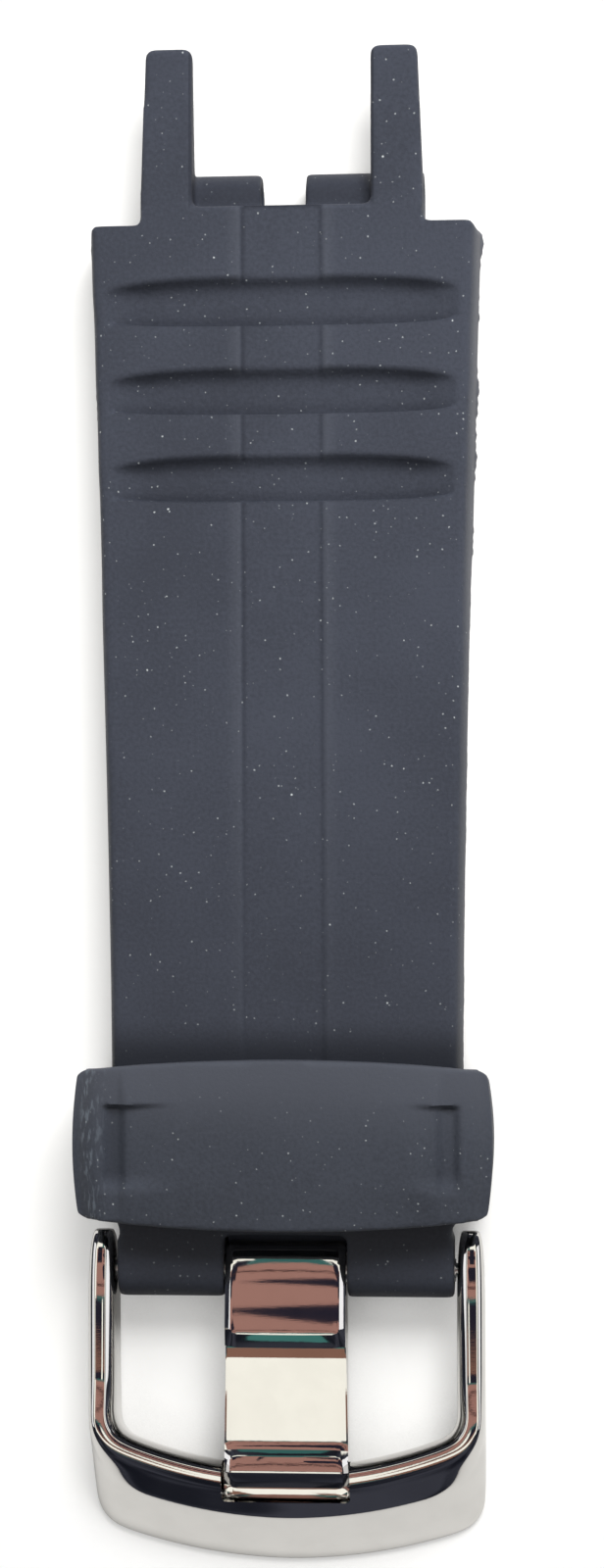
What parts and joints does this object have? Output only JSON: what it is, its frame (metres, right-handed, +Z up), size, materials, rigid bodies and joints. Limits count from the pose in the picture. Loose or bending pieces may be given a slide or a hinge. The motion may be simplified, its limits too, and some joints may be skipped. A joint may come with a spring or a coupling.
{
  "type": "watch strap",
  "caption": "Buckle half of a rubber dive watch strap: case prongs, flex grooves, sliding keeper and a polished pin buckle on a sprung bar.",
  "frame": {"origin": "middle of the bore for the case's own sprung bar", "axes": "+X across the strap, +Y along it towards the case, +Z up from the wrist side to the face"},
  "size_m": [0.029, 0.1067, 0.0097],
  "materials": {
    "strap_rubber": "matte moulded rubber with fine dust",
    "keeper_rubber": "matte moulded rubber",
    "polished_steel": "mirror polished",
    "bar_steel": "turned"
  },
  "bodies": {
    "case_end": {"strap_case_end": "strap_rubber"},
    "first_rib": {"strap_first_rib": "strap_rubber"},
    "second_rib": {"strap_second_rib": "strap_rubber"},
    "tail": {"strap_tail": "strap_rubber", "bar_tube": "bar_steel", "bar_spring": "bar_steel"},
    "keeper": {"keeper": "keeper_rubber"},
    "frame": {"buckle_frame": "polished_steel"},
    "tongue": {"buckle_tongue": "polished_steel"},
    "pin_left": {"bar_pin_left": "bar_steel"},
    "pin_right": {"bar_pin_right": "bar_steel"}
  },
  "joints": [
    {"name": "first_flex", "type": "hinge", "parent": "case_end", "child": "first_rib", "pos_m": [0, -0.0078, -0.0017], "axis": [1, 0, 0], "range_deg": [0, 20], "stiffness_Nm_per_rad": 0.12, "springref_deg": -5.73},
    {"name": "second_flex", "type": "hinge", "parent": "first_rib", "child": "second_rib", "pos_m": [0, -0.0139, -0.0017], "axis": [1, 0, 0], "range_deg": [0, 20], "stiffness_Nm_per_rad": 0.12, "springref_deg": -5.73},
    {"name": "third_flex", "type": "hinge", "parent": "second_rib", "child": "tail", "pos_m": [0, -0.02, -0.0017], "axis": [1, 0, 0], "range_deg": [0, 20], "stiffness_Nm_per_rad": 0.12, "springref_deg": -5.73},
    {"name": "keeper_slide", "type": "slide", "parent": "tail", "child": "keeper", "axis": [0, 1, 0], "range_m": [0, 0.03]},
    {"name": "buckle_hinge", "type": "hinge", "parent": "tail", "child": "frame", "pos_m": [0, -0.0755, 0.0016], "axis": [-1, 0, 0], "range_deg": [-75, 40]},
    {"name": "tongue_hinge", "type": "hinge", "parent": "frame", "child": "tongue", "pos_m": [0, -0.0755, 0.0016], "axis": [-1, 0, 0], "range_deg": [0, 55]},
    {"name": "left_tip_slide", "type": "slide", "parent": "tail", "child": "pin_left", "axis": [1, 0, 0], "range_m": [0, 0.0012], "stiffness_N_per_m": 300, "springref_m": -0.002, "deforming": ["bar_spring"]},
    {"name": "right_tip_slide", "type": "slide", "parent": "tail", "child": "pin_right", "axis": [-1, 0, 0], "range_m": [0, 0.0012], "stiffness_N_per_m": 300, "springref_m": -0.002, "deforming": ["bar_spring"]}
  ]
}
